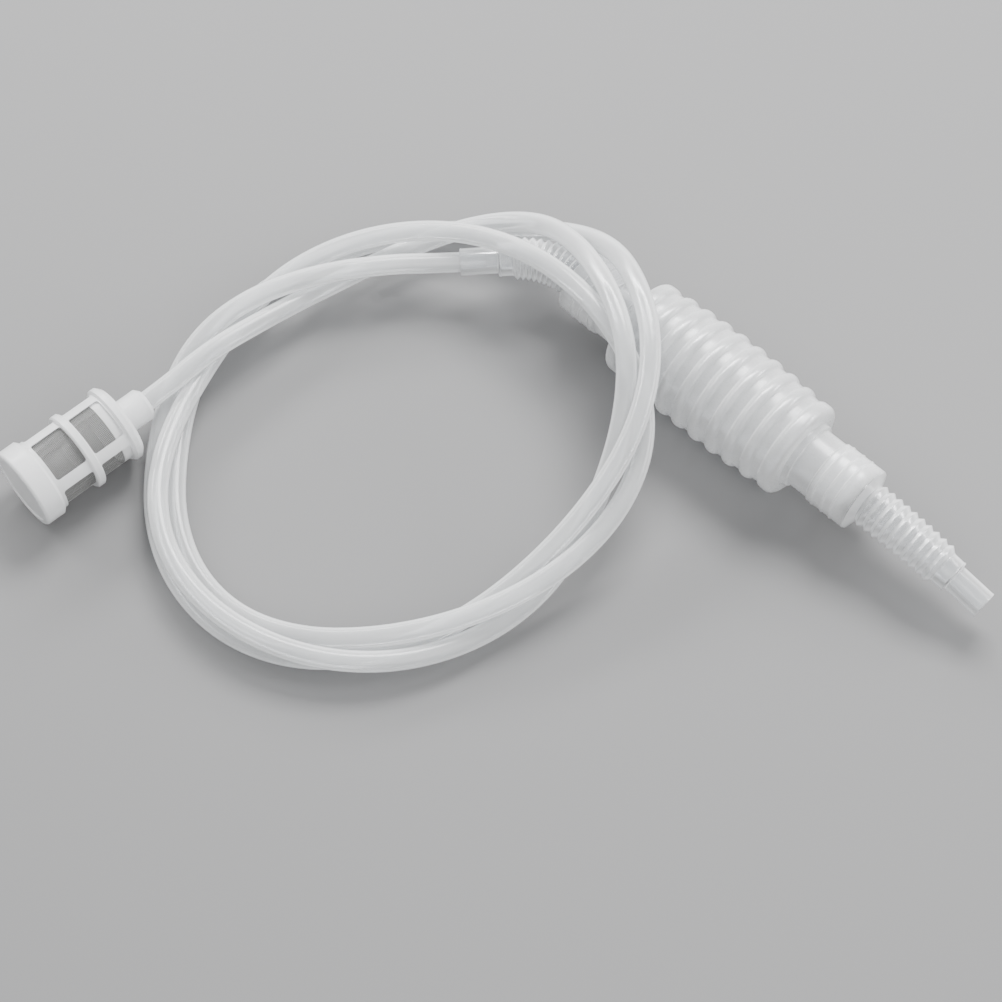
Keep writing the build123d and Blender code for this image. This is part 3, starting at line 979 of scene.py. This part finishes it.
def build_strainer():
    made = []
    plastic = material("strainer")
    for node in ("filter_cage", "filter_end_cap", "filter_neck"):
        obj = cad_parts[node]
        obj.data.materials.clear()
        obj.data.materials.append(plastic)
        made.append(obj)
    axis = strainer_axis()
    u, v = axis.across
    heading = STRAINER_HEADING * -1
    place = Matrix((heading, u, v)).transposed().to_4x4()
    place.translation = STRAINER_FACE * MM
    mesh = bpy.data.meshes.new("strainer_mesh")
    vertices, faces = [], []
    columns, rows = MESH_COLUMNS, MESH_ROWS
    for column in range(columns + 1):
        turned = MESH_COLUMN_TURN * column
        angle = math.radians(SEAM_ANGLE + turned)
        radius = MESH_RADIUS + MESH_OVERLAP_RISE * min(1, turned / MESH_OVERLAP_TURN)
        for row in range(rows + 1):
            # The sheet's last edge is cut in small zigzags.
            cut = MESH_ZIGZAG if column == columns and row % 2 else 0.0
            vertices.append(sleeve_point(MESH_START + row, radius, angle + cut))
    for column in range(columns):
        for row in range(rows):
            a = column * (rows + 1) + row
            b = a + rows + 1
            faces.append((a, b, b + 1, a + 1))
    mesh.from_pydata(vertices, [], faces)
    mesh.shade_smooth()
    sleeve = link("strainer_mesh", mesh)
    sleeve.matrix_world = place
    finish_piece(sleeve, material("mesh"), "bulb", ["filter_mesh"])
    weld = link("mesh_seam_weld", seam_weld())
    weld.matrix_world = place
    finish_piece(weld, material("weld"), "bulb")
    made += [sleeve, weld]
    return made


# ---------------------------------------------------------------- the stage


def area_light(name, place, size, power):
    data = bpy.data.lights.new(name, "AREA")
    data.shape = "RECTANGLE"
    data.size, data.size_y = size
    data.energy = power
    obj = bpy.data.objects.new(name, data)
    bpy.context.scene.collection.objects.link(obj)
    obj.location = place
    direction = Vector(LIGHT_TARGET) - Vector(place)
    obj.rotation_euler = direction.to_track_quat("-Z", "Y").to_euler()


def build_stage():
    scene = bpy.context.scene
    mesh = bpy.data.meshes.new("floor")
    side = FLOOR_HALF_SIDE
    corners = [(-side, -side, 0), (side, -side, 0), (side, side, 0), (-side, side, 0)]
    mesh.from_pydata(corners, [], [(0, 1, 2, 3)])
    floor = link("floor", mesh)
    floor.location = (0, 0, FLOOR_HEIGHT)
    paper = bpy.data.materials.new("Plain floor")
    paper.use_nodes = True
    shader = paper.node_tree.nodes["Principled BSDF"]
    shader.inputs["Base Color"].default_value = FLOOR_COLOUR
    shader.inputs["Roughness"].default_value = FLOOR_ROUGHNESS
    mesh.materials.append(paper)

    world = bpy.data.worlds.new("Studio")
    world.use_nodes = True
    background = world.node_tree.nodes["Background"]
    background.inputs["Color"].default_value = WORLD_COLOUR
    background.inputs["Strength"].default_value = WORLD_STRENGTH
    scene.world = world
    for light in LIGHTS:
        area_light(*light)

    data = bpy.data.cameras.new("camera")
    data.lens = CAMERA_LENS
    data.sensor_width = CAMERA_SENSOR
    data.clip_start = 0.01
    data.clip_end = 20
    camera = link("camera", data)
    place = CAMERA_PLACE * MM
    target = CAMERA_TARGET * MM
    camera.location = place
    camera.rotation_euler = (target - place).to_track_quat("-Z", "Y").to_euler()
    scene.camera = camera
    return floor


# ---------------------------------------------------------------- operators


class SIPHON_OT_materials(bpy.types.Operator):
    """Make the plastics, the rubber and the woven mesh"""

    bl_idname = "siphon.materials"
    bl_label = "Make materials"

    def execute(self, context):
        if len(make_materials()) != len(PLASTICS) + 1:
            raise RuntimeError("a material is missing")
        return {"FINISHED"}


class SIPHON_OT_stage(bpy.types.Operator):
    """Make the floor, the lights and the camera"""

    bl_idname = "siphon.stage"
    bl_label = "Set the stage"

    def execute(self, context):
        if not build_stage():
            raise RuntimeError("no floor was made")
        return {"FINISHED"}


class SIPHON_OT_bulb(bpy.types.Operator):
    """Make the ribbed squeeze bulb"""

    bl_idname = "siphon.bulb"
    bl_label = "Make the bulb"

    def execute(self, context):
        if not build_bulb():
            raise RuntimeError("no bulb was made")
        return {"FINISHED"}


class SIPHON_OT_valves(bpy.types.Operator):
    """Make the two one-way valves"""

    bl_idname = "siphon.valves"
    bl_label = "Make the valves"

    def execute(self, context):
        if len(build_valves()) != 4:
            raise RuntimeError("a valve is missing")
        return {"FINISHED"}


class SIPHON_OT_connectors(bpy.types.Operator):
    """Make the bendy connectors and their nozzles"""

    bl_idname = "siphon.connectors"
    bl_label = "Make the connectors"

    def execute(self, context):
        if len(build_connectors()) != 5:
            raise RuntimeError("a connector is missing")
        return {"FINISHED"}


class SIPHON_OT_hose(bpy.types.Operator):
    """Make the hose and the strainer on its far end"""

    bl_idname = "siphon.hose"
    bl_label = "Make the hose and strainer"

    def execute(self, context):
        hose, start = build_hose()
        strainer = build_strainer()
        if len(strainer) != 5:
            raise RuntimeError("a strainer piece is missing")
        return {"FINISHED"}


class SIPHON_PT_panel(bpy.types.Panel):
    """The steps that build the pump"""

    bl_label = "Siphon bulb pump"
    bl_idname = "SIPHON_PT_panel"
    bl_space_type = "VIEW_3D"
    bl_region_type = "UI"
    bl_category = "Siphon"

    def draw(self, context):
        layout = self.layout
        scene = context.scene
        layout.prop(scene.siphon_bulb, "steps")
        layout.prop(scene.siphon_bulb, "milkiness")
        layout.prop(scene.siphon_hose, "length")
        layout.prop(scene.siphon_hose, "diameter")
        layout.prop(scene.siphon_strainer, "thread_pitch")
        for operator in OPERATORS:
            layout.operator(operator.bl_idname)


SETTINGS = (
    ("siphon_bulb", BulbSettings),
    ("siphon_hose", HoseSettings),
    ("siphon_strainer", StrainerSettings),
)
OPERATORS = (
    SIPHON_OT_materials,
    SIPHON_OT_stage,
    SIPHON_OT_bulb,
    SIPHON_OT_valves,
    SIPHON_OT_connectors,
    SIPHON_OT_hose,
)


def register():
    for name, group in SETTINGS:
        bpy.utils.register_class(group)
        setattr(bpy.types.Scene, name, PointerProperty(type=group))
    for operator in OPERATORS:
        bpy.utils.register_class(operator)
    bpy.utils.register_class(SIPHON_PT_panel)


def unregister():
    bpy.utils.unregister_class(SIPHON_PT_panel)
    for operator in reversed(OPERATORS):
        bpy.utils.unregister_class(operator)
    for name, group in reversed(SETTINGS):
        delattr(bpy.types.Scene, name)
        bpy.utils.unregister_class(group)


def main():
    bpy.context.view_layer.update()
    register()
    bpy.ops.siphon.materials()
    bpy.ops.siphon.stage()
    bpy.ops.siphon.bulb()
    bpy.ops.siphon.valves()
    bpy.ops.siphon.connectors()
    bpy.ops.siphon.hose()


if __name__ == "__main__":
    main()
